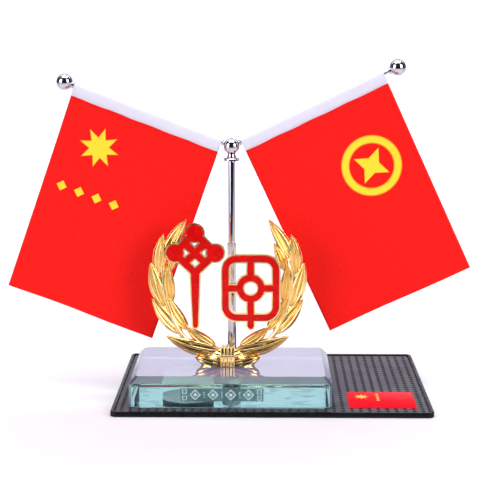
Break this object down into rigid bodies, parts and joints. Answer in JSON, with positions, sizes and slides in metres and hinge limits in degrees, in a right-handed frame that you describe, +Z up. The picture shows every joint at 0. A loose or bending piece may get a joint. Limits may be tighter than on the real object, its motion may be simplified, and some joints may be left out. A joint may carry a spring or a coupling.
{
  "type": "desk flag stand",
  "caption": "Desk stand with hanging flags on a telescopic chrome pole, a gilt wreath with enamelled ornaments, and a bevelled glass block on an anti-slip mat.",
  "frame": {"origin": "on the mat's underside, directly below the pole's axis", "axes": "+Z up along the pole, +X to the right across the flags, -Y towards the front where the wreath stands"},
  "size_m": [0.2472, 0.1146, 0.1797],
  "materials": {
    "mat_rubber": "moulded, satin, dimpled",
    "badge_print": "printed film sticker, satin",
    "block_glass": "polished, pale blue-green",
    "felt": "pressed felt",
    "plug_plastic": "moulded, matt",
    "screw_steel": "zinc plated",
    "gasket_rubber": "plain",
    "chrome": "bright chrome plate",
    "bush_brass": "turned",
    "gilt": "bright gold plate on a casting",
    "red_enamel": "soft enamel, glossy",
    "flag_cloth": "printed polyester satin, red with a white sleeve"
  },
  "bodies": {
    "mat": {"anti_slip_mat": "mat_rubber", "mat_badge": "badge_print"},
    "stand": {"glass_block": "block_glass", "scent_pad": "felt", "well_plug": "plug_plastic", "screw_gasket": "gasket_rubber", "screw_washer": "screw_steel", "pole_screw": "screw_steel", "pole_foot": "chrome", "lower_tube": "chrome", "wreath_foot": "gilt", "wreath_branch_left": "gilt", "wreath_branch_right": "gilt", "knot_plate": "gilt", "knot_enamel": "red_enamel", "lattice_plate": "gilt", "lattice_enamel": "red_enamel"},
    "upper_pole": {"upper_tube": "chrome", "slide_bush": "bush_brass"},
    "hub": {"hub_ball": "chrome", "rod_collar_left": "chrome", "rod_collar_right": "chrome", "flag_rod_left": "chrome", "flag_rod_right": "chrome", "finial_left": "chrome", "finial_right": "chrome"},
    "flag_left": {"flag_left": "flag_cloth"},
    "flag_right": {"flag_right": "flag_cloth"}
  },
  "joints": [
    {"name": "stand_lift", "type": "slide", "parent": "mat", "child": "stand", "axis": [0, 0, 1], "range_m": [0, 0.06]},
    {"name": "pole_telescope", "type": "slide", "parent": "stand", "child": "upper_pole", "axis": [0, 0, 1], "range_m": [-0.008, 0.02]},
    {"name": "hub_swivel", "type": "hinge", "parent": "upper_pole", "child": "hub", "pos_m": [0, 0, 0.1343], "axis": [0, 0, 1], "range_deg": [-8, 8]},
    {"name": "flag_left_swing", "type": "hinge", "parent": "hub", "child": "flag_left", "pos_m": [0, 0, 0.1343], "axis": [0.933, 0, -0.36], "range_deg": [-3, 75]},
    {"name": "flag_right_swing", "type": "hinge", "parent": "hub", "child": "flag_right", "pos_m": [0, 0, 0.1343], "axis": [0.9026, 0, 0.4305], "range_deg": [-3, 75]}
  ]
}
